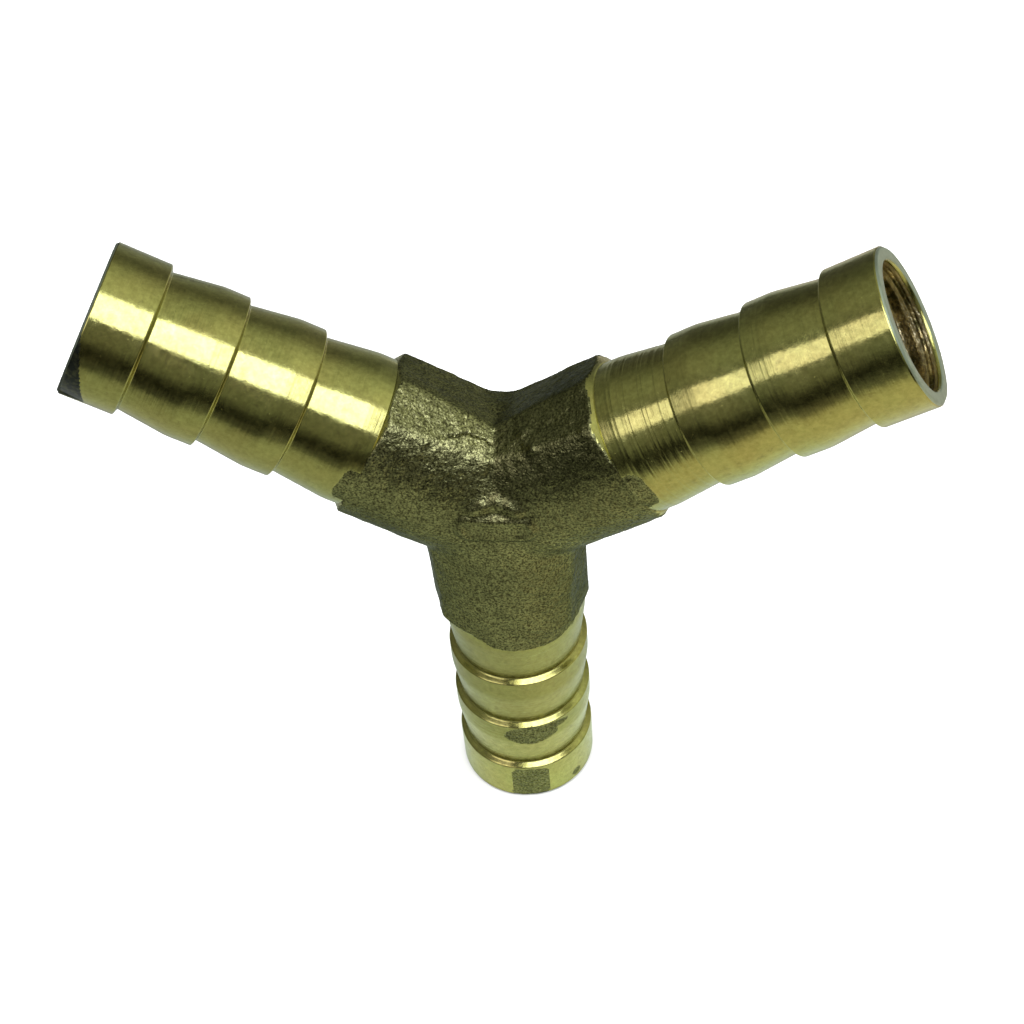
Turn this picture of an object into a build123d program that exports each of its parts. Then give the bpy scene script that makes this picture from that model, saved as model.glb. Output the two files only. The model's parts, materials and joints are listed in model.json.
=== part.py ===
"""Brass Y connector with three equal barbed tails, for 16 mm irrigation hose.

The Y stands upright in the XZ plane. The three tail axes meet at the origin, 120 degrees apart: one points
straight down, the other two up to the left and up to the right. The front of the connector faces -Y.
All sizes are in millimetres.

The real connector is one forging. It is divided here where the as-forged hub ends and each turned tail
begins, so the hub and the tails meet face to face.
"""

import math
import os

from build123d import *

# Tails
barb_radius = 8.0  # over the barbs, half of the 16 mm nominal size
groove_radius = 7.3  # at the foot of each barb
bore_radius = 6.5  # waterway
tail_reach = 45.8  # from the origin to a tail's end face
end_land_length = 5.8
barb_pitch = 8.15  # from the back of one barb to the back of the next
barb_count = 3  # the end land counts as the first
barb_land_length = 2.7
inner_land_length = 1.7  # between the shoulder and the foot of the last barb's taper
barb_back_length = 0.45  # how far the steep back of a barb runs along the tail
end_chamfer = 0.35

# Hub
hub_reach = 16.0  # from the origin to the foot of the shoulder, where a tail begins
shoulder_angle = 50.0  # between the turned shoulder and the arm's axis
crown_depth = 8.3  # from an arm's axis to its crowned front and to its crowned back
parting_radius = 8.8  # from an arm's axis to its two edges in the XZ plane, where the dies met
facet_radius = 8.62  # from an arm's axis to each line where the crown meets a side facet
facet_angle = 47.0  # of that line about the arm's axis, measured from front or back
section_rounding = 0.8  # along all six edges of an arm
crotch_rounding = 0.8  # in the corners between the arms

# Blank identification pad on the front of the hub
pad_width = 9.0
pad_height = 4.0
pad_corner = 1.4
pad_centre_height = 2.1  # above the axes' meeting point
pad_proud = 0.3  # in front of the crown
pad_depth = 1.6  # from its face back into the hub
pad_draft = 20.0

# Directions of the arms in the XZ plane, in degrees from +X towards +Z
arm_angles = {"left": 150, "right": 30, "lower": 270}
crotch_angles = [90, 210, 330]


def arm_direction(angle):
    """Unit vector from the origin out along an arm."""
    return Vector(math.cos(math.radians(angle)), 0, math.sin(math.radians(angle)))


def plane_across(angle):
    """Plane through the origin square to an arm, with its local Y along world Y."""
    direction = arm_direction(angle)
    return Plane((0, 0, 0), x_dir=Vector(0, 1, 0).cross(direction), z_dir=direction)


def plane_along(angle):
    """Plane through an arm's axis, with local X along world Y and local Y out along the arm."""
    return Plane((0, 0, 0), x_dir=(0, 1, 0), z_dir=Vector(0, 1, 0).cross(arm_direction(angle)))


def barb_backs():
    """Distances from the origin to the steep backs of the barbs, from the tail's end inwards."""
    return [tail_reach - end_land_length - barb * barb_pitch for barb in range(barb_count)]


def tail_outline():
    """Half section of a tail as (radius, distance from the origin), from its end face to the hub."""
    backs = barb_backs()
    outline = [
        (bore_radius, tail_reach),
        (barb_radius - end_chamfer, tail_reach),
        (barb_radius, tail_reach - end_chamfer),
    ]
    lands = [back + barb_land_length for back in backs[1:]] + [hub_reach + inner_land_length]
    for back, next_land in zip(backs, lands):
        outline.append((barb_radius, back))
        outline.append((groove_radius, back - barb_back_length))
        outline.append((barb_radius, next_land))
    outline.append((barb_radius, hub_reach))
    outline.append((bore_radius, hub_reach))
    return outline


def shoulder_cut():
    """Half section, as in tail_outline, of what the turning takes off the hub to leave a sloping shoulder."""
    rise = parting_radius  # far enough to clear the forging
    run = rise / math.tan(math.radians(shoulder_angle))
    return [
        (barb_radius, hub_reach),
        (barb_radius + rise, hub_reach - run),
        (barb_radius + rise, hub_reach),
    ]


def in_a_crotch(edge):
    """True for an edge that lies in the plane midway between two arms."""
    middle = edge.center()
    angle = math.degrees(math.atan2(middle.Z, middle.X)) % 360
    return min(abs(angle - crotch) for crotch in crotch_angles) < 1


os.makedirs("parts", exist_ok=True)

# The hub: three arms of one section, meeting at the origin, with the waterways bored through them
facet_x = facet_radius * math.sin(math.radians(facet_angle))
facet_y = facet_radius * math.cos(math.radians(facet_angle))

with BuildPart() as forged_hub:
    for angle in arm_angles.values():
        with BuildSketch(plane_across(angle)) as arm_section:
            with BuildLine():
                ThreePointArc((-facet_x, -facet_y), (0, -crown_depth), (facet_x, -facet_y))
                Polyline((facet_x, -facet_y), (parting_radius, 0), (facet_x, facet_y))
                ThreePointArc((facet_x, facet_y), (0, crown_depth), (-facet_x, facet_y))
                Polyline((-facet_x, facet_y), (-parting_radius, 0), (-facet_x, -facet_y))
            make_face()
            fillet(arm_section.vertices(), section_rounding)
        extrude(amount=hub_reach)
    fillet(forged_hub.edges().filter_by(in_a_crotch), crotch_rounding)
    with BuildSketch(Plane.XZ.offset(crown_depth + pad_proud)):
        with Locations((0, pad_centre_height)):
            RectangleRounded(pad_width, pad_height, pad_corner)
    extrude(amount=-pad_depth, taper=-pad_draft)
    for angle in arm_angles.values():
        with BuildSketch(plane_along(angle)):
            with BuildLine():
                Polyline(*shoulder_cut(), close=True)
            make_face()
        revolve(axis=Axis((0, 0, 0), arm_direction(angle)), mode=Mode.SUBTRACT)
        with BuildSketch(plane_across(angle)):
            Circle(bore_radius)
        extrude(amount=hub_reach, mode=Mode.SUBTRACT)

forged_hub.part.label = "forged_hub"
export_step(forged_hub.part, "parts/forged_hub.step")

# The three tails, turned to one profile about their own axes
for side, angle in arm_angles.items():
    with BuildPart() as hose_tail:
        with BuildSketch(plane_along(angle)):
            with BuildLine():
                Polyline(*tail_outline(), close=True)
            make_face()
        revolve(axis=Axis((0, 0, 0), arm_direction(angle)))
    hose_tail.part.label = f"{side}_hose_tail"
    export_step(hose_tail.part, f"parts/{side}_hose_tail.step")
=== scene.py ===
"""Looks of the brass Y hose connector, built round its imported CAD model.

The connector is one piece of brass: a forged hub with a grainy skin, and three tails turned bright. The hub
and each tail replace a CAD node with a finer mesh. Lengths are in millimetres until a mesh is made, and in
metres in the studio. Places on an arm are given by the distance out along its axis and by the angle about
it, right-handed about the outward axis and starting at the front of the connector.
"""

import json
import math

import bpy
import numpy as np
from mathutils import Matrix, Vector


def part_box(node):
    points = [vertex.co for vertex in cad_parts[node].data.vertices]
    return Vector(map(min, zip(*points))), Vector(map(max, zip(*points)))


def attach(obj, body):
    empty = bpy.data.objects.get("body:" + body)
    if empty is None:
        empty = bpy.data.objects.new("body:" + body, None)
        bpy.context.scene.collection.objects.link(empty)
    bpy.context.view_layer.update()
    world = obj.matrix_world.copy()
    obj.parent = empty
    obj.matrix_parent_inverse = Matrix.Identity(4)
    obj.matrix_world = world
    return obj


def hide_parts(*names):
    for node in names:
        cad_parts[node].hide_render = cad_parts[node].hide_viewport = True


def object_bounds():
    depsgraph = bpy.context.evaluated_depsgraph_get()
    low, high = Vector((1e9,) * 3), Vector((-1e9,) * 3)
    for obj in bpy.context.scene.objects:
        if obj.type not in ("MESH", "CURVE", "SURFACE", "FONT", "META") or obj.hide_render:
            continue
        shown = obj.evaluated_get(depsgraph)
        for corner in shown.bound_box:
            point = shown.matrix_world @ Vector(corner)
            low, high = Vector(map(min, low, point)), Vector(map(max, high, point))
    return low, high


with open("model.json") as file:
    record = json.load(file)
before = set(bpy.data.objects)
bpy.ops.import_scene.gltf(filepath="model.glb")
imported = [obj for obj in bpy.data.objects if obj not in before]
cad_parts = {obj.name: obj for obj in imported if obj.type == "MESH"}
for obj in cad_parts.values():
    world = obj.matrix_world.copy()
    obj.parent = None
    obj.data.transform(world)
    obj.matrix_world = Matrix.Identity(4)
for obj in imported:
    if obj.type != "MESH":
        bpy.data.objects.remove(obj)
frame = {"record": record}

MM = 0.001
FRONT = np.array((0.0, -1.0, 0.0))
cad_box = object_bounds()

# ------------------------------------------------------------------ sizes from the frame
mounts = {mount["name"]: mount for mount in frame["record"]["mounts"]}
barb_radius = mounts["lower_hose_spigot"]["dims"]["r_mm"]
bore_radius = mounts["lower_waterway"]["dims"]["r_mm"]
tail_reach = -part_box("lower_hose_tail")[0].z / MM
hub_reach = -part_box("lower_hose_tail")[1].z / MM
arm_axes = {side: np.array(mounts[f"{side}_waterway"]["axis"]) for side in ("left", "right", "lower")}

# ------------------------------------------------------------------ sizes of the tails
groove_radius = 7.3
end_land_length = 5.8
barb_pitch = 8.15
barb_count = 3
barb_land_length = 2.7
inner_land_length = 1.7
barb_back_lengths = {"left": 0.22, "right": 0.22, "lower": 0.33}
crest_rounding = 0.06
taper_rounding = 0.35  # where a barb's land turns into its taper
step_middle = 0.1  # from the foot of a barb's steep back to where crest_reach is measured from
crest_reach = (0.9, 1.8)  # where the rounding starts to change from a crest's, and where it is a taper's
end_chamfer = 0.3
mouth_chamfer = 0.2
drilled_depth = 14.0  # how far in from the end the drill marks are modelled finely
ring_depth = 0.001
ring_spacing = 0.35
faint_marks = 0.22  # strength of the tool marks outside the ringed stretches
# The stretch of a tail where the tool left strong rings, as two distances out along the arm
ringed_stretches = {"right": (17.0, 23.6)}
ring_fade = 0.4  # over which a ringed stretch fades at its ends
# Each patch of skin left by the tool: distance, angle, half its length, half its width, squareness
skin_patches = {
    "left": [(16.1, -4, 1.5, 2.6, 3)],
    "right": [(16.1, 4, 1.75, 2.7, 3)],
    "lower": [
        (14.0, -22, 3.6, 9.0, 2),
        (33.5, -12, 1.6, 3.3, 2),
        (32.6, -30, 0.6, 2.4, 2),
        (43.4, -8, 3.1, 2.3, 6),
        (44.6, -53, 0.6, 0.7, 2),
    ],
}
patch_fade = 0.15  # how far into a patch's mask the skin reaches its full grain
# A worn bevel at one tail's end, which is greatest at one angle and fades out by another
worn_tail = "left"
worn_from, worn_to = -33, 40
worn_start = 4  # degrees over which it comes up before worn_from
worn_length = 3.0
worn_depth = 0.3
near_black_depth = 0.012  # where the bevel is deep enough to be black
near_black_waver = 0.03

# ------------------------------------------------------------------ layers of noise
# Height, wavelength and seed of each layer. The tails add a seed of their own to those of the last two.
skin_layers = [(0.015, 0.4, 11), (0.04, 0.9, 12), (0.05, 2.6, 13)]
skin_mean = -0.03  # of the forging's skin from the surface that its sizes give
drill_layers = [(0.025, 0.5, 5), (0.02, 1.4, 6)]
drill_pitch = 0.3
ragged_layers = [(0.06, 1.1, 2), (0.05, 0.45, 3)]

# ------------------------------------------------------------------ sizes of the hub
casting_offset = np.array((-0.25, 0.35, 0.0))  # from the turned axes to the middle of the forging
crown_depth = 8.3
crown_curve = 10.6
parting_radius = 8.85
parting_shift = (-1.7, -0.5)  # of the parting edges along Y, near the middle of the hub and at a shoulder
parting_reach = (3.0, 15.0)  # where along an arm those two shifts hold
parting_rounding = 0.35
facet_tilt = 71.0  # from the front to the normal of a side facet
ridge_rounding = 0.25
flat_allowance = 0.1  # from the crown's depth to the flats that cut it off where the arms meet
flat_rounding = 0.4
front_crotch_rounding = 0.35
back_crotch_rounding = 2.1
crotch_change = (-0.5, 4.0)  # along Y, between the front crotch rounding and the back one
shoulder_slope = math.tan(math.radians(50))
skin_thickness = 0.06  # of forged skin that still shows where the tool has just cut into it
skin_blend = 1.0  # over which an arm's end comes up to the tail's skin, where the forging lies below it
pad_half_width = 4.5
pad_half_height = 2.0
pad_corner = 1.9
pad_centre_height = 2.1
pad_face_depth = 8.25
pad_edge = 0.8
pad_rim = 0.75  # width of the low rim round the pad
pad_recess = 0.12  # depth of the pad's face behind its rim
lap_line = ((4.7, -3.2), (5.8, -2.95), (7.7, -3.05), (9.8, -4.1))  # distance out along the left arm, and Y
lap_start, lap_end = (4.4, 5.0), (9.0, 10.2)  # where the lap fades in and out along the arm
lap_rise = 0.22  # of the metal in front of the lap
lap_rise_reach = 1.2
lap_groove = 0.22  # depth of the lap itself
lap_groove_width = 0.12
lap_waver = 0.1
lap_waver_length = 0.8
# Lumps of the forging: their place, how far they reach and how high they stand
forging_lumps = [
    ((-0.7, -5.1, 8.8), 0.9, 0.25),
    ((2.9, -3.0, 11.1), 0.8, 0.25),
    ((3.9, -5.0, 10.9), 0.7, 0.22),
    ((1.9, -3.6, 9.6), 0.6, 0.2),
    ((-2.2, -7.4, 4.3), 0.7, 0.3),
    ((-1.2, -7.2, 4.8), 0.75, 0.45),
    ((0.1, -7.1, 5.1), 0.75, 0.5),
    ((1.4, -7.2, 4.8), 0.75, 0.45),
    ((2.3, -7.4, 4.3), 0.7, 0.3),
]

# ------------------------------------------------------------------ mesh fineness
tail_columns = 264
tail_row_gap = 0.16
corner_reach = 0.24  # on either side of a corner of a tail's outline, where the rows are closer
corner_rows = 9
drill_row_gap = 0.22
hub_columns = 320
hub_rows = 80
solver_rounds = 7
solver_step = 0.01
weld_distance = 0.01
sharp_angle = 55.0  # between faces, above which their edge is shaded sharp


# ------------------------------------------------------------------ repeatable noise
def lattice_values(x, y, z, seed):
    """Repeatable values from -1 to 1 on whole-number points."""
    mixed = (x * 374761393 + y * 668265263 + z * 1442695041 + seed * 1274126177) & 0xFFFFFFFF
    mixed = ((mixed ^ (mixed >> 13)) * 1274126177) & 0xFFFFFFFF
    return ((mixed ^ (mixed >> 16)) & 0xFFFF) / 32767.5 - 1.0


def noise(points, wavelength, seed):
    """Smooth noise from -1 to 1 at points of shape (n, 3)."""
    scaled = points / wavelength
    cell = np.floor(scaled).astype(np.int64)
    part = scaled - cell
    part = part * part * (3 - 2 * part)
    total = np.zeros(len(scaled))
    for corner in range(8):
        step = np.array((corner & 1, corner >> 1 & 1, corner >> 2 & 1))
        weight = np.prod(np.where(step == 1, part, 1 - part), axis=1)
        total += weight * lattice_values(*(cell + step).T, seed)
    return total


def along_noise(distance, wavelength, seed):
    """Noise that depends only on the distance along an axis, as tool marks do."""
    points = np.zeros((distance.size, 3))
    points[:, 2] = distance.ravel()
    return noise(points, wavelength, seed).reshape(distance.shape)


def smooth_step(value, low, high):
    """0 below low and 1 above high, with an even S between."""
    part = np.clip((value - low) / (high - low), 0, 1)
    return part * part * (3 - 2 * part)


def layered(noise_kind, places, layers, seed=0):
    """The sum of some layers of noise of one kind, either noise or along_noise."""
    return sum(height * noise_kind(places, wavelength, seed + shift) for height, wavelength, shift in layers)


def skin_grain(points):
    """Height of the forging's skin above its mean surface at points in the connector's frame."""
    return layered(noise, points, skin_layers) + skin_mean


# ------------------------------------------------------------------ meshes
def arm_frame(axis):
    """Rows: unit vectors across, back and out along an arm."""
    return np.stack([np.cross(axis, FRONT), -FRONT, axis])


def around(radius, angle, distance):
    """Points in an arm's own frame."""
    radius, angle, distance = np.broadcast_arrays(radius, angle, distance)
    return np.stack([radius * np.sin(angle), -radius * np.cos(angle), distance], axis=-1)


def lathe_faces(rows, columns, closed):
    """Quads of a grid whose columns run right round, and whose rows do too if it is closed."""
    row = np.arange(rows if closed else rows - 1)[:, None]
    column = np.arange(columns)[None, :]
    next_row, next_column = (row + 1) % rows, (column + 1) % columns
    corners = [
        row * columns + column,
        row * columns + next_column,
        next_row * columns + next_column,
        next_row * columns + column,
    ]
    grid = np.stack(np.broadcast_arrays(*corners), axis=-1)
    return grid.reshape(-1, 4)


def linked(name, data):
    """A new object that holds data, in the scene."""
    made = bpy.data.objects.new(name, data)
    bpy.context.scene.collection.objects.link(made)
    return made


def mesh_object(name, points, faces, materials, face_materials):
    """A smooth-shaded object from points in mm."""
    mesh = bpy.data.meshes.new(name)
    mesh.vertices.add(len(points))
    mesh.vertices.foreach_set("co", (points * MM).astype(np.float32).ravel())
    mesh.loops.add(faces.size)
    mesh.loops.foreach_set("vertex_index", faces.astype(np.int32).ravel())
    mesh.polygons.add(len(faces))
    mesh.polygons.foreach_set("loop_start", np.arange(0, faces.size, 4, dtype=np.int32))
    for material in materials:
        mesh.materials.append(material)
    mesh.polygons.foreach_set("material_index", face_materials.astype(np.int32))
    mesh.update(calc_edges=True)
    mesh.shade_smooth()
    mesh.set_sharp_from_angle(angle=math.radians(sharp_angle))
    return linked(name, mesh)


def finish_piece(piece, cad_node):
    """Say what a finished piece moves with and which CAD node it replaces."""
    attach(piece, "root")
    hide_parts(cad_node)


# ------------------------------------------------------------------ tails
def barb_backs():
    """Distances from the middle of the connector to the steep backs of the barbs, from the hub outwards."""
    return [tail_reach - end_land_length - barb * barb_pitch for barb in reversed(range(barb_count))]


def tail_outline(side):
    """Radius against distance along the outside of a tail, from the hub outwards."""
    backs = barb_backs()
    outline = [(hub_reach, barb_radius), (hub_reach + inner_land_length, barb_radius)]
    for back in backs:
        outline.append((back - barb_back_lengths[side], groove_radius))
        outline.append((back, barb_radius))
        if back != backs[-1]:
            outline.append((back + barb_land_length, barb_radius))
    outline.append((tail_reach - end_chamfer, barb_radius))
    return np.array(outline)


def outer_distances(side):
    """Rows along the outside of a tail, closer together round the outline's corners."""
    rows = [np.arange(hub_reach, tail_reach - end_chamfer, tail_row_gap), [tail_reach - end_chamfer]]
    for corner in tail_outline(side)[1:-1, 0]:
        rows.append(corner + np.linspace(-corner_reach, corner_reach, corner_rows))
    return np.unique(np.round(np.concatenate(rows), 2))


def profile_radius(side, distance):
    """The outline's radius at distances, with its crests a little rounded and its other corners more."""
    outline = tail_outline(side)
    steps = np.array(barb_backs()) - barb_back_lengths[side] + step_middle
    from_step = np.min(np.abs(distance[:, None] - steps[None, :]), axis=1)
    rounding = crest_rounding + (taper_rounding - crest_rounding) * smooth_step(from_step, *crest_reach)
    # The outline is averaged over a bell curve of offsets
    offsets = np.linspace(-2.5, 2.5, 21)
    weights = np.exp(-offsets**2 / 2)
    radius = np.zeros(distance.shape)
    for offset, weight in zip(offsets, weights / weights.sum()):
        radius += weight * np.interp(distance + offset * rounding, outline[:, 0], outline[:, 1])
    return radius


def patch_mask(distance, angle, patches):
    """Above zero where skin of the forging is left on a tail, and up to 1 in the middle of a patch."""
    mask = np.full(np.broadcast(distance, angle).shape, -1.0)
    for along, around_deg, half_length, half_width, squareness in patches:
        turned = np.mod(angle - math.radians(around_deg) + math.pi, 2 * math.pi) - math.pi
        reach = (
            np.abs((distance - along) / half_length) ** squareness
            + np.abs(turned * barb_radius / half_width) ** squareness
        )
        mask = np.maximum(mask, 1 - reach ** (1 / squareness))
    return mask


def tip_bevel(side, distance, angle):
    """How far the worn bevel at one tail's end cuts in."""
    if side != worn_tail:
        return np.zeros(np.broadcast(distance, angle).shape)
    degrees = np.degrees(np.mod(angle + math.pi, 2 * math.pi) - math.pi)
    share = np.clip((worn_to - degrees) / (worn_to - worn_from), 0, 1)
    share = share * smooth_step(degrees, worn_from - worn_start, worn_from)
    reach = np.maximum(worn_length * share, 0.01)
    return worn_depth * share * np.clip(1 - (tail_reach - distance) / reach, 0, 1)


# The parts of a tail's surface, in the order of its rows, and the finishes that its faces can have
OUTSIDE, CHAMFER, END_FACE, MOUTH, DRILLED, BORE, HUB_FACE = range(7)
IS_TURNED, IS_FORGED, IS_DRILLED, IS_FACED, IS_NEAR_BLACK = range(5)


def tail_rows(side):
    """The part, distance and radius of each row of a tail, along its outside and back through its bore."""
    outer = outer_distances(side)
    face_outer, face_inner = barb_radius - end_chamfer, bore_radius + mouth_chamfer
    mouth_end = tail_reach - mouth_chamfer
    drilled = np.arange(mouth_end, tail_reach - drilled_depth, -drill_row_gap)
    sections = {
        OUTSIDE: (outer, profile_radius(side, outer)),
        CHAMFER: (
            np.linspace(tail_reach - end_chamfer, tail_reach, 4)[1:],
            np.linspace(barb_radius, face_outer, 4)[1:],
        ),
        END_FACE: (np.full(6, tail_reach), np.linspace(face_outer, face_inner, 7)[1:]),
        MOUTH: (np.linspace(tail_reach, mouth_end, 3)[1:], np.linspace(face_inner, bore_radius, 3)[1:]),
        DRILLED: (drilled[1:], np.full(len(drilled) - 1, bore_radius)),
        BORE: (np.linspace(drilled[-1], hub_reach, 9)[1:], np.full(8, bore_radius)),
        HUB_FACE: (np.full(1, hub_reach), np.full(1, (bore_radius + barb_radius) / 2)),
    }
    parts = np.concatenate([np.full(len(rows[0]), part) for part, rows in sections.items()])
    distance = np.concatenate([rows[0] for rows in sections.values()])
    radius = np.concatenate([rows[1] for rows in sections.values()])
    return parts, distance, radius


def tail_finishes(part, skin, bevel, ragged):
    """The finish of each face of a tail, from its part and the means of what its corners have."""
    finishes = np.where(skin > 0, IS_FORGED, IS_TURNED)
    finishes = np.where(bevel + near_black_waver * ragged > near_black_depth, IS_NEAR_BLACK, finishes)
    finishes = np.where((part == DRILLED) | (part == BORE), IS_DRILLED, finishes)
    return np.where((part == CHAMFER) | (part == END_FACE), IS_FACED, finishes)


def make_tail(side, seed):
    """One turned tail, in a frame of its own with local Z out along its axis."""
    axes = arm_frame(arm_axes[side])
    parts, distance, radius = tail_rows(side)
    distance, radius = distance[:, None], radius[:, None]
    part = np.broadcast_to(parts[:, None], (len(parts), tail_columns))
    angle = np.linspace(0, 2 * math.pi, tail_columns, endpoint=False)[None, :]

    bevel = tip_bevel(side, distance, angle)
    turned = radius + ring_depth * along_noise(distance, ring_spacing, seed) - bevel
    spiral = distance + drill_pitch * angle / (2 * math.pi)
    scored = radius + layered(along_noise, spiral, drill_layers, seed)
    radius = np.where(part == OUTSIDE, turned, np.where(part == DRILLED, scored, radius))

    smooth = around(radius, angle, distance).reshape(-1, 3)
    ragged = layered(noise, smooth, ragged_layers, seed)
    mask = patch_mask(distance, angle, skin_patches[side]).ravel() + ragged
    skin = np.where(part.ravel() == OUTSIDE, mask, -1.0)
    sunk = smooth_step(skin, 0, patch_fade) * np.minimum(skin_grain(smooth @ axes), 0)
    points = around(radius.ravel() + sunk, np.broadcast_to(angle, part.shape).ravel(), smooth[:, 2])

    faces = lathe_faces(len(parts), tail_columns, closed=True)
    over_faces = [values.ravel()[faces].mean(axis=1) for values in (skin, bevel, ragged)]
    finishes = tail_finishes(np.repeat(parts, tail_columns), *over_faces)
    materials = [turned_brass, forged_brass, drilled_brass, faced_brass, blackened_brass]
    tail = mesh_object(f"{side}_turned_tail", points, faces, materials, finishes)
    start, end = ringed_stretches.get(side, (0, 0))
    out = smooth[:, 2]
    ringed = smooth_step(out, start, start + ring_fade) * (1 - smooth_step(out, end - ring_fade, end))
    marks = tail.data.attributes.new("tool_marks", "FLOAT", "POINT")
    marks.data.foreach_set("value", (faint_marks + (1 - faint_marks) * ringed).astype(np.float32))
    tail.matrix_world = Matrix(axes.T.tolist()).to_4x4()
    finish_piece(tail, f"{side}_hose_tail")


# ------------------------------------------------------------------ hub
def smooth_max(a, b, blend):
    """The larger of two fields, rounded where they are within blend of each other."""
    overlap = np.clip(1 - np.abs(a - b) / blend, 0, None)
    return np.maximum(a, b) + overlap * overlap * blend / 4


def arm_field(points, axis):
    """About how far points lie outside the faceted arm along an axis."""
    across = points @ np.cross(axis, FRONT)
    depth = points[:, 1]
    centre = crown_curve - crown_depth
    crown = np.hypot(across, np.abs(depth) + centre) - crown_curve
    tilt = math.radians(facet_tilt)
    out = points @ axis
    inner_shift, outer_shift = parting_shift
    parting = inner_shift + (outer_shift - inner_shift) * smooth_step(out, *parting_reach)
    rise = (np.abs(across) - parting_radius) * math.sin(tilt)
    facet = rise + np.hypot(depth - parting, parting_rounding) * math.cos(tilt)
    return np.maximum(smooth_max(crown, facet, ridge_rounding), -out)


def pad_share(points, inset=0.0):
    """1 on the identification pad, 0 off it and within an inset of its edge."""
    over_x = np.abs(points[:, 0]) - pad_half_width + pad_corner
    over_z = np.abs(points[:, 2] - pad_centre_height) - pad_half_height + pad_corner
    past_corner = np.hypot(np.maximum(over_x, 0), np.maximum(over_z, 0))
    outside = past_corner + np.minimum(np.maximum(over_x, over_z), 0)
    return 1 - smooth_step(outside - pad_corner + inset, -pad_edge, 0)


def flaws(points):
    """Height of the forging's lumps, and of the lap on the left arm, above the mean surface."""
    height = np.zeros(len(points))
    for place, reach, rise in forging_lumps:
        height += rise * np.exp(-np.sum((points - place) ** 2, axis=1) / reach**2)
    out = points @ arm_axes["left"]
    lap = np.interp(out, *np.array(lap_line).T) + lap_waver * along_noise(out, lap_waver_length, 17)
    before = lap - points[:, 1]
    raised = smooth_step(before, 0, 0.15) * np.exp(-np.abs(before) / lap_rise_reach)
    groove = np.exp(-((before / lap_groove_width) ** 2))
    on_lap = smooth_step(out, *lap_start) * (1 - smooth_step(out, *lap_end))
    # Nothing of the lap is left at the valley, where the next arm's points have to meet these
    on_lap = on_lap * smooth_step(-points[:, 0], 0, 0.3)
    upper = points @ np.cross(arm_axes["left"], FRONT) > 0
    return height + np.where(upper, on_lap * (lap_rise * raised - lap_groove * groove), 0)


def forging_field(points):
    """About how far points lie outside the mean surface of the forging."""
    centred = points - casting_offset
    towards_back = smooth_step(centred[:, 1], *crotch_change)
    blend = front_crotch_rounding + (back_crotch_rounding - front_crotch_rounding) * towards_back
    arms = [arm_field(centred, axis) for axis in arm_axes.values()]
    total = arms[0]
    for arm in arms[1:]:
        total = -smooth_max(-total, -arm, blend)
    total = smooth_max(total, np.abs(centred[:, 1]) - crown_depth - flat_allowance, flat_rounding)
    pad = np.minimum(total, -points[:, 1] - pad_face_depth + pad_recess * pad_share(points, pad_rim))
    return total + (pad - total) * np.where(points[:, 1] < 0, pad_share(points), 0)


def forged_radius(starts, steps):
    """How many steps from its start each point reaches the forging's skin."""
    reach = np.full(len(starts), crown_depth)
    for _ in range(solver_rounds):
        here = forging_field(starts + reach[:, None] * steps)
        ahead = forging_field(starts + (reach[:, None] + solver_step) * steps)
        reach = reach - here * solver_step / np.maximum(ahead - here, 0.2 * solver_step)
    points = starts + reach[:, None] * steps
    return reach + skin_grain(points) + flaws(points)


def hub_arm(axis):
    """Grid of points of one arm, and whether each of them is turned rather than forged."""
    axes = arm_frame(axis)
    angle = np.linspace(0, 2 * math.pi, hub_columns, endpoint=False)
    outward = around(1.0, angle, 0.0) @ axes
    # The first row lies in the planes midway between this arm and the other two
    valley = np.abs(np.sin(angle)) * math.tan(math.radians(30))
    valley_steps = outward + valley[:, None] * axis
    valley_radius = forged_radius(np.zeros((hub_columns, 3)), valley_steps)

    share = np.linspace(0, 1, hub_rows)[1:, None]
    start = valley_radius * valley
    distance = start + share * (hub_reach - start)
    starts = (distance[..., None] * axis).reshape(-1, 3)
    steps = np.broadcast_to(outward, (hub_rows - 1, hub_columns, 3)).reshape(-1, 3)
    forged = forged_radius(starts, steps).reshape(distance.shape)
    shoulder = barb_radius + (hub_reach - distance) * shoulder_slope
    radius = np.minimum(forged, shoulder)
    tail_skin = barb_radius + np.minimum(skin_grain(starts + barb_radius * steps), 0).reshape(distance.shape)
    radius += smooth_step(distance, hub_reach - skin_blend, hub_reach) * np.maximum(tail_skin - radius, 0)

    bore_distance = np.linspace(np.full(hub_columns, hub_reach), bore_radius * valley, 9)
    skin = np.concatenate([
        (valley_radius[:, None] * valley_steps)[None],
        around(radius, angle, distance) @ axes,
        (around((barb_radius + bore_radius) / 2, angle, hub_reach) @ axes)[None],
        around(bore_radius, angle, bore_distance) @ axes,
    ])
    turned = np.ones(skin.shape[:2], dtype=bool)
    turned[0] = False
    turned[1:hub_rows] = forged > shoulder + skin_thickness
    return skin, turned


def welded(points, faces):
    """The same mesh with points that coincide made one."""
    keys = np.round(points / weld_distance).astype(np.int64)
    _, first, inverse = np.unique(keys, axis=0, return_index=True, return_inverse=True)
    return points[first], inverse.ravel()[faces]


def make_hub():
    """The forged hub: three faceted arms with a grainy skin, turned shoulders and meeting bores."""
    points, faces, turned = [], [], []
    for number, axis in enumerate(arm_axes.values()):
        skin, machined = hub_arm(axis)
        grid_faces = lathe_faces(len(skin), hub_columns, closed=False)
        points.append(skin.reshape(-1, 3))
        faces.append(grid_faces + number * machined.size)
        turned.append(machined.ravel()[grid_faces].mean(axis=1) > 0.5)
    points, faces = welded(np.concatenate(points), np.concatenate(faces))
    hub = mesh_object("faceted_hub", points, faces, [forged_brass, turned_brass], np.concatenate(turned))
    finish_piece(hub, "forged_hub")
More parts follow.
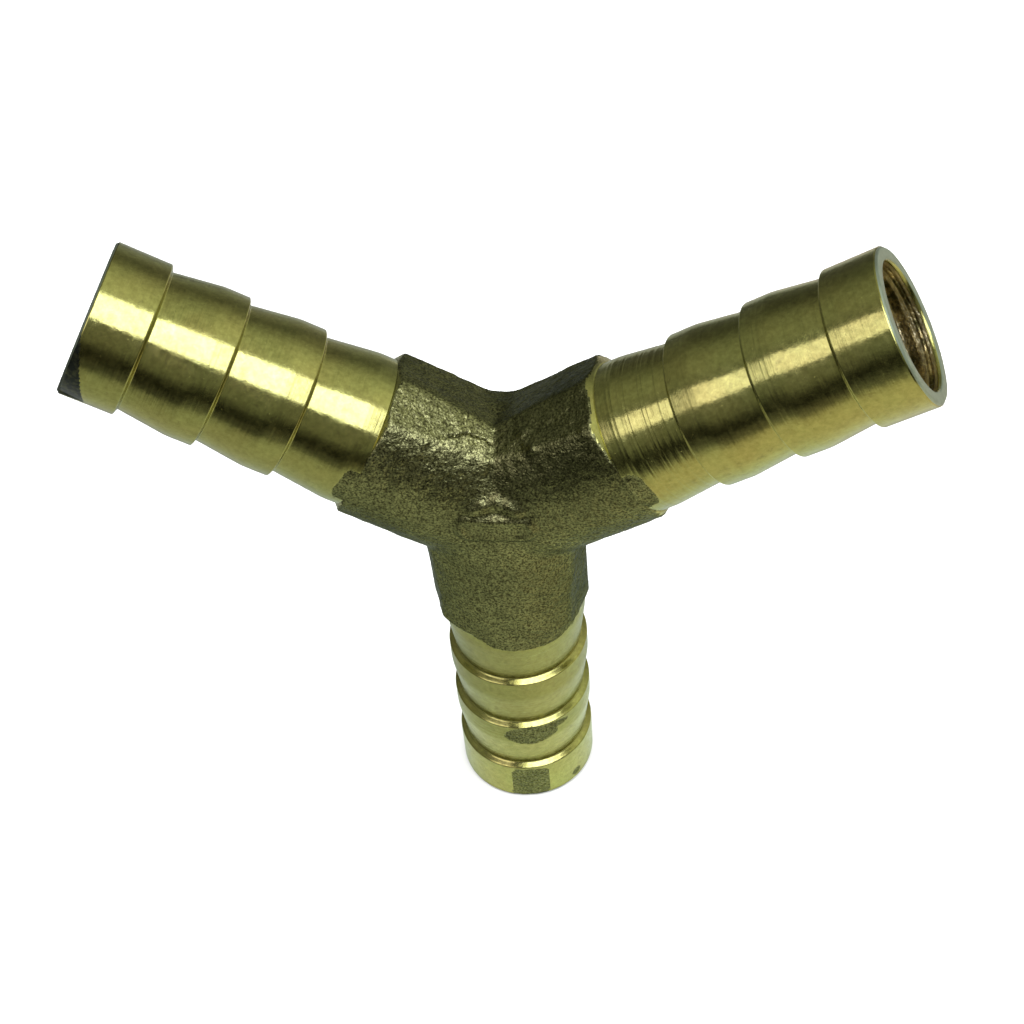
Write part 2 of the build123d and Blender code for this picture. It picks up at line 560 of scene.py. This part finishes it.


# ------------------------------------------------------------------ materials
# Places on the hub darkened by painted shade: middle, where the painted shade starts to fade, where it ends,
# and its strength
painted_shade_places = [
    ((9.0, -3.5, 13.0), 5.0, 11.0, 0.52),
    ((9.0, -1.0, -11.0), 3.0, 11.0, 0.4),
]
# Colour of the painted shade on the hub
painted_shade_colour = (0.055, 0.057, 0.018)


def new_material(name, **constants):
    """A material with constants on its Principled BSDF. Returns the material, its tree and the shader."""
    material = bpy.data.materials.new(name)
    material.use_nodes = True
    principled = material.node_tree.nodes["Principled BSDF"]
    for socket, value in constants.items():
        principled.inputs[socket.replace("_", " ")].default_value = value
    return material, material.node_tree, principled


def node(tree, kind, inputs=None, **settings):
    """A new node. Inputs are given by name or number, as a value or as a socket to link."""
    made = tree.nodes.new("ShaderNode" + kind)
    for name, value in settings.items():
        setattr(made, name, value)
    for name, value in (inputs or {}).items():
        if isinstance(value, bpy.types.NodeSocket):
            tree.links.new(value, made.inputs[name])
        else:
            made.inputs[name].default_value = value
    return made


def texture(tree, wavelength, detail=2.0, roughness=0.5, seed=0.0):
    """Noise with a wavelength in mm, in the object's own frame."""
    place = node(tree, "TexCoord").outputs["Object"]
    inputs = {
        "Vector": place,
        "W": seed,
        "Scale": 1 / (wavelength * MM),
        "Detail": detail,
        "Roughness": roughness,
    }
    return node(tree, "TexNoise", inputs, noise_dimensions="4D").outputs["Fac"]


def ring_texture(tree, wavelength, detail=2.0):
    """Noise that varies only along local Z, with a wavelength in mm."""
    place = node(tree, "TexCoord").outputs["Object"]
    along = node(tree, "SeparateXYZ", {0: place}).outputs["Z"]
    inputs = {"W": along, "Scale": 1 / (wavelength * MM), "Detail": detail}
    return node(tree, "TexNoise", inputs, noise_dimensions="1D").outputs["Fac"]


def remap(tree, value, low, high, to_low, to_high):
    """A value carried from one range to another, and held within it."""
    inputs = {"Value": value, "From Min": low, "From Max": high, "To Min": to_low, "To Max": to_high}
    return node(tree, "MapRange", inputs).outputs["Result"]


def mixed_colour(tree, share, first, second):
    """A mix of two colours, each three numbers or a socket."""
    inputs = {0: share}
    for number, colour in ((6, first), (7, second)):
        inputs[number] = colour if isinstance(colour, bpy.types.NodeSocket) else (*colour, 1)
    return node(tree, "Mix", inputs, data_type="RGBA").outputs[2]


def bumped(tree, height, depth, normal=None):
    """A normal from a height texture that spans a depth in mm."""
    inputs = {"Height": height, "Distance": depth * MM, "Strength": 1.0}
    if normal is not None:
        inputs["Normal"] = normal
    return node(tree, "Bump", inputs).outputs["Normal"]


def make_turned_brass():
    """Brass bright from the lathe, with highlights that run across its rings."""
    material, tree, principled = new_material(
        "turned_brass", Metallic=1.0, Anisotropic=0.8, Anisotropic_Rotation=0.25
    )
    warmth = remap(tree, texture(tree, 5.0, detail=3), 0.4, 0.65, 0.0, 1.0)
    clean = mixed_colour(tree, warmth, (0.455, 0.44, 0.12), (0.455, 0.413, 0.112))
    stain = remap(tree, texture(tree, 0.7, detail=3, roughness=0.6, seed=4.0), 0.60, 0.72, 0.0, 0.5)
    stained = mixed_colour(tree, stain, clean, (0.30, 0.27, 0.08))
    mottle = remap(tree, texture(tree, 0.6, detail=4, roughness=0.7, seed=6.0), 0.35, 0.65, 0.0, 1.0)
    shade = mixed_colour(tree, mottle, (0.82, 0.81, 0.78), (1.10, 1.10, 1.12))
    colour = node(tree, "VectorMath", {0: stained, 1: shade}, operation="MULTIPLY").outputs["Vector"]
    tree.links.new(colour, principled.inputs["Base Color"])
    dullness = remap(tree, texture(tree, 0.7, detail=4, roughness=0.6, seed=3.0), 0.35, 0.65, 0.17, 0.27)
    tree.links.new(dullness, principled.inputs["Roughness"])
    marks = node(tree, "Attribute", attribute_name="tool_marks").outputs["Fac"]
    coarse = node(tree, "Math", {0: ring_texture(tree, 0.42, detail=1), 1: marks}, operation="MULTIPLY")
    rings = bumped(tree, coarse.outputs[0], 0.05)
    fine_rings = bumped(tree, ring_texture(tree, 0.13, detail=2), 0.004, rings)
    waves = bumped(tree, texture(tree, 1.1, detail=3, roughness=0.6, seed=11.0), 0.02, fine_rings)
    nick = remap(tree, texture(tree, 0.22, detail=1, seed=7.0), 0.76, 0.84, 0.0, 1.0)
    tree.links.new(bumped(tree, nick, 0.02, waves), principled.inputs["Normal"])
    tangent = node(tree, "Tangent", direction_type="RADIAL", axis="Z")
    tree.links.new(tangent.outputs["Tangent"], principled.inputs["Tangent"])
    return material


def make_drilled_brass():
    """Brown brass with drill rings, for the waterways, mottled partly by stain and partly by painted dark
    reflections, and streaked with painted glints.
    """
    material, tree, principled = new_material("drilled_brass", Metallic=1.0, Roughness=0.33)
    # Bright streaks along the rings are painted glints
    painted_glint = remap(tree, ring_texture(tree, 0.9, detail=3), 0.46, 0.64, 0.0, 1.0)
    # The mottling is partly stain and partly painted dark reflection of the bore
    stain_and_painted_reflection = remap(tree, texture(tree, 2.4, detail=4, roughness=0.6), 0.42, 0.6, 0.0, 1.0)
    stained = mixed_colour(tree, stain_and_painted_reflection, (0.13, 0.115, 0.036), (0.78, 0.62, 0.24))
    colour = mixed_colour(tree, painted_glint, stained, (1.0, 0.88, 0.46))
    tree.links.new(colour, principled.inputs["Base Color"])
    rings = bumped(tree, ring_texture(tree, 0.35, detail=2), 0.05)
    rough = bumped(tree, texture(tree, 0.45, detail=3), 0.13, rings)
    tree.links.new(rough, principled.inputs["Normal"])
    return material


def make_faced_brass():
    """Dull pale brass, for the end faces."""
    material, tree, principled = new_material("faced_brass", Metallic=1.0, Roughness=0.42)
    stain = remap(tree, texture(tree, 0.8, detail=3), 0.4, 0.7, 0.0, 0.7)
    colour = mixed_colour(tree, stain, (0.42, 0.473, 0.32), (0.326, 0.364, 0.23))
    tree.links.new(colour, principled.inputs["Base Color"])
    tree.links.new(bumped(tree, texture(tree, 0.25, detail=3), 0.006), principled.inputs["Normal"])
    return material


def make_near_black_brass():
    """Nearly black brass, for the worn bevel."""
    material, tree, principled = new_material("blackened_brass", Metallic=1.0, Roughness=0.4)
    worn = remap(tree, texture(tree, 0.5, detail=3), 0.45, 0.7, 0.0, 1.0)
    # The deep part of the bevel is given a nearly black colour
    colour = mixed_colour(tree, worn, (0.045, 0.05, 0.035), (0.13, 0.13, 0.06))
    tree.links.new(colour, principled.inputs["Base Color"])
    tree.links.new(bumped(tree, texture(tree, 0.35, detail=3, seed=1.0), 0.03), principled.inputs["Normal"])
    return material


def make_forged_brass():
    """The forging's grainy skin, speckled, and darkened in two places by painted shade."""
    material, tree, principled = new_material(
        "forged_brass", Metallic=1.0, Specular_Tint=(0.48, 0.50, 0.52, 1)
    )
    patchy = remap(tree, texture(tree, 3.0, detail=3), 0.35, 0.65, 0.0, 1.0)
    light = mixed_colour(tree, patchy, (0.39, 0.379, 0.135), (0.274, 0.271, 0.098))
    speckle = remap(tree, texture(tree, 0.22, detail=2, roughness=0.6), 0.38, 0.62, 0.0, 1.0)
    colour = mixed_colour(tree, speckle, (0.075, 0.07, 0.024), light)
    place = node(tree, "TexCoord").outputs["Object"]
    # Painted shade darkens the right facet of the hub and the right side of its stem
    for centre, near, far, strength in painted_shade_places:
        gap = node(tree, "VectorMath", {0: place, 1: Vector(centre) * MM}, operation="DISTANCE")
        painted_shade_share = remap(tree, gap.outputs["Value"], near * MM, far * MM, strength, 0.0)
        colour = mixed_colour(tree, painted_shade_share, colour, painted_shade_colour)
    tree.links.new(colour, principled.inputs["Base Color"])
    dullness = remap(tree, texture(tree, 0.5, detail=3, seed=5.0), 0.3, 0.7, 0.24, 0.44)
    tree.links.new(dullness, principled.inputs["Roughness"])
    lumps = bumped(tree, texture(tree, 0.85, detail=2, seed=9.0), 0.19)
    pits = bumped(tree, texture(tree, 0.26, detail=2, roughness=0.6, seed=2.0), 0.08, lumps)
    tree.links.new(pits, principled.inputs["Normal"])
    return material


# ------------------------------------------------------------------ studio
camera_azimuth = 9.1
camera_elevation = 46.5
camera_roll = -5.3
camera_distance = 0.17485
camera_target = Vector((0.00057, 0.0, -0.00366))
camera_lens = 57.46
# Brightness of the surroundings in front and behind, by sine of elevation, and where front turns to behind
front_levels = [(0.0, 0.015), (0.10, 0.045), (0.25, 0.21), (0.50, 0.22), (0.75, 0.09)]
back_levels = [(0.0, 0.34), (0.30, 0.22), (0.45, 0.20), (0.72, 0.48), (0.90, 0.62)]
front_edge, back_edge = -0.45, 0.05
# Shares of the brightness behind, from left to right
side_shares = [
    (0.0, 0.6),
    (0.2, 0.75),
    (0.33, 0.3),
    (0.42, 0.3),
    (0.46, 0.85),
    (0.57, 0.85),
    (0.60, 0.4),
    (0.70, 1.25),
    (0.76, 1.25),
    (0.84, 2.2),
]
# Painted shade of the reflected table: its grey from left to right, darker to the left, and its shares from
# front to back, darker in front and at the back
table_left, table_right = -0.14, 0.02
table_painted_greys = [(0.0, 0.01), (0.16, 0.04), (0.28, 0.19), (0.66, 0.24), (0.875, 0.275), (0.98, 0.35)]
table_front, table_back = -0.16, 0.04
table_painted_shares = [
    (0.0, 0.12),
    (0.10, 0.72),
    (0.40, 0.97),
    (0.60, 1.0),
    (0.76, 1.2),
    (0.86, 1.2),
    (0.97, 0.75),
]
foot_painted_light = 0.32  # painted light, added to the table's grey close to the foot
foot_painted_light_radii = (0.010, 0.018)
studio_tint = (0.95, 1.016, 1.0)
warm_tint = (0.95, 0.90, 0.81)  # of the table to the right
warm_edges = (0.0, 0.03)
cool_tint = (0.888, 1.016, 0.98)  # of the table behind, near the connector
cool_edges = (-0.04, 0.0)
cool_radii = (0.045, 0.080)
# Each soft light: azimuth, elevation, width, height, radiance, colour and roll
softbox_distance = 0.6
softboxes = {
    "right_softbox": (35.8, 58.3, 0.38, 0.41, 4.3, (0.99, 1.04, 1.48), -45),
    "left_softbox": (-41, 46.2, 0.275, 0.28, 2.2, (0.95, 0.90, 1.25), 41),
    "top_softbox": (11, 79.5, 0.16, 0.20, 2.8, (0.95, 1.0, 1.15), 0),
}


def direction(azimuth, elevation):
    """Unit vector towards a place in the studio. Azimuth 0 is the front and 90 the right."""
    azimuth, elevation = math.radians(azimuth), math.radians(elevation)
    level = math.cos(elevation)
    return Vector((math.sin(azimuth) * level, -math.cos(azimuth) * level, math.sin(elevation)))


def aimed(target, away, distance, roll=0.0):
    """Placement of a camera or light that looks at a target from a distance."""
    turn = away.to_track_quat("Z", "Y").to_matrix() @ Matrix.Rotation(math.radians(roll), 3, "Z")
    return Matrix.Translation(target + away * distance) @ turn.to_4x4()


def make_camera():
    """The camera, which looks down on the front of the connector."""
    data = bpy.data.cameras.new("camera")
    data.lens = camera_lens
    data.clip_start = 0.01
    camera = linked("camera", data)
    away = direction(camera_azimuth, camera_elevation)
    camera.matrix_world = aimed(camera_target, away, camera_distance, camera_roll)
    bpy.context.scene.camera = camera


def make_softbox(name, azimuth, elevation, width, height, radiance, colour, roll):
    """A rectangular soft light aimed at the middle of the connector, which only the brass shows."""
    light = bpy.data.lights.new(name, "AREA")
    light.shape = "RECTANGLE"
    light.size, light.size_y = width, height
    light.energy = radiance * math.pi * width * height
    light.color = colour
    softbox = linked(name, light)
    softbox.matrix_world = aimed(Vector(), direction(azimuth, elevation), softbox_distance, roll)
    softbox.visible_diffuse = False


def make_disc(name, radius, height, material, columns=96):
    """A flat round sheet lying level, which isn't part of the connector."""
    points = [(0.0, 0.0, height)]
    for column in range(columns):
        turn = 2 * math.pi * column / columns
        points.append((radius * math.cos(turn), radius * math.sin(turn), height))
    mesh = bpy.data.meshes.new(name)
    faces = [(0, 1 + column, 1 + (column + 1) % columns) for column in range(columns)]
    mesh.from_pydata(points, [], faces)
    mesh.materials.append(material)
    sheet = linked(name, mesh)
    return sheet


def grey_ramp(tree, value, levels):
    """A value from 0 to 1 carried to levels of grey at given positions."""
    ramp = node(tree, "ValToRGB", {"Fac": value})
    elements = ramp.color_ramp.elements
    while len(elements) < len(levels):
        elements.new(0.5)
    for element, (position, level) in zip(elements, levels):
        element.position = position
        element.color = (level, level, level, 1)
    return ramp.outputs["Color"]


def make_world():
    """Surroundings that the brass shows as greys, and that are white where the camera sees them."""
    world = bpy.data.worlds.new("studio")
    bpy.context.scene.world = world
    world.use_nodes = True
    tree = world.node_tree
    place = node(tree, "SeparateXYZ", {0: node(tree, "TexCoord").outputs["Generated"]})
    sideways = remap(tree, place.outputs["X"], -1.0, 1.0, 0.0, 1.0)
    share = grey_ramp(tree, sideways, side_shares)
    levels = grey_ramp(tree, place.outputs["Z"], back_levels)
    behind = node(tree, "Math", {0: levels, 1: share}, operation="MULTIPLY")
    backwards = remap(tree, place.outputs["Y"], front_edge, back_edge, 0.0, 1.0)
    in_front = grey_ramp(tree, place.outputs["Z"], front_levels)
    level = mixed_colour(tree, backwards, in_front, behind.outputs[0])
    tinted = node(tree, "VectorMath", {0: level, 1: studio_tint}, operation="MULTIPLY").outputs["Vector"]
    reflected = node(tree, "Background", {"Color": tinted})
    seen = node(tree, "Background", {"Color": (1.0, 1.0, 1.0, 1)})
    is_camera = node(tree, "LightPath").outputs["Is Camera Ray"]
    both = node(tree, "MixShader", {0: is_camera, 1: reflected.outputs[0], 2: seen.outputs[0]})
    tree.links.new(both.outputs[0], tree.nodes["World Output"].inputs["Surface"])


def make_table_card(height):
    """What the brass reflects as the table, out of the camera's sight. Its grey is painted shade, darker to
    the left, in front and behind, with painted light added near the foot.
    """
    material, tree, principled = new_material("grey_card", Roughness=0.9)
    place = node(tree, "TexCoord").outputs["Object"]
    along = node(tree, "SeparateXYZ", {0: place}).outputs
    sideways = remap(tree, along["X"], table_left, table_right, 0.0, 1.0)
    backwards = remap(tree, along["Y"], table_front, table_back, 0.0, 1.0)
    level = node(tree, "VectorMath", {0: place, 1: (1.0, 1.0, 0.0)}, operation="MULTIPLY").outputs["Vector"]
    away = node(tree, "VectorMath", {0: level}, operation="LENGTH").outputs["Value"]
    # Painted light on the table close to the foot of the lower tail
    painted_light = remap(tree, away, *foot_painted_light_radii, foot_painted_light, 0.0)
    # Painted shade: greyer to the left, and darker in front and behind
    greys = grey_ramp(tree, sideways, table_painted_greys)
    lit = node(tree, "Math", {0: greys, 1: painted_light}, operation="ADD").outputs[0]
    share = grey_ramp(tree, backwards, table_painted_shares)
    grey = node(tree, "Math", {0: lit, 1: share}, operation="MULTIPLY").outputs[0]
    to_right = remap(tree, along["X"], *warm_edges, 0.0, 1.0)
    behind = remap(tree, along["Y"], *cool_edges, 0.0, 1.0)
    near = remap(tree, away, *cool_radii, 1.0, 0.0)
    cool = node(tree, "Math", {0: behind, 1: near}, operation="MULTIPLY").outputs[0]
    tint = mixed_colour(tree, cool, mixed_colour(tree, to_right, studio_tint, warm_tint), cool_tint)
    colour = node(tree, "VectorMath", {0: tint, 1: grey}, operation="MULTIPLY").outputs["Vector"]
    tree.links.new(colour, principled.inputs["Base Color"])
    card = make_disc("table_card", 0.35, height, material)
    card.visible_camera = False
    card.visible_diffuse = False
    card.visible_shadow = False


def make_studio():
    """A white floor that only the camera sees, the table that the brass shows, the lights and the world."""
    paper, _, _ = new_material("white_paper", Base_Color=(0.9, 0.9, 0.9, 1), Roughness=0.9)
    table_height = cad_box[0].z
    make_disc("floor", 4.0, table_height, paper).visible_glossy = False
    make_table_card(table_height + 0.0002)
    for name, settings in softboxes.items():
        make_softbox(name, *settings)
    fill = bpy.data.lights.new("overhead_fill", "SUN")
    fill.energy = 6.0
    fill.angle = math.radians(70)
    linked("overhead_fill", fill).visible_glossy = False
    make_world()
    bpy.context.scene.view_settings.view_transform = "Standard"


turned_brass = make_turned_brass()
drilled_brass = make_drilled_brass()
faced_brass = make_faced_brass()
blackened_brass = make_near_black_brass()
forged_brass = make_forged_brass()
for number, side in enumerate(arm_axes):
    make_tail(side, 20 * (number + 1))
make_hub()
make_camera()
make_studio()
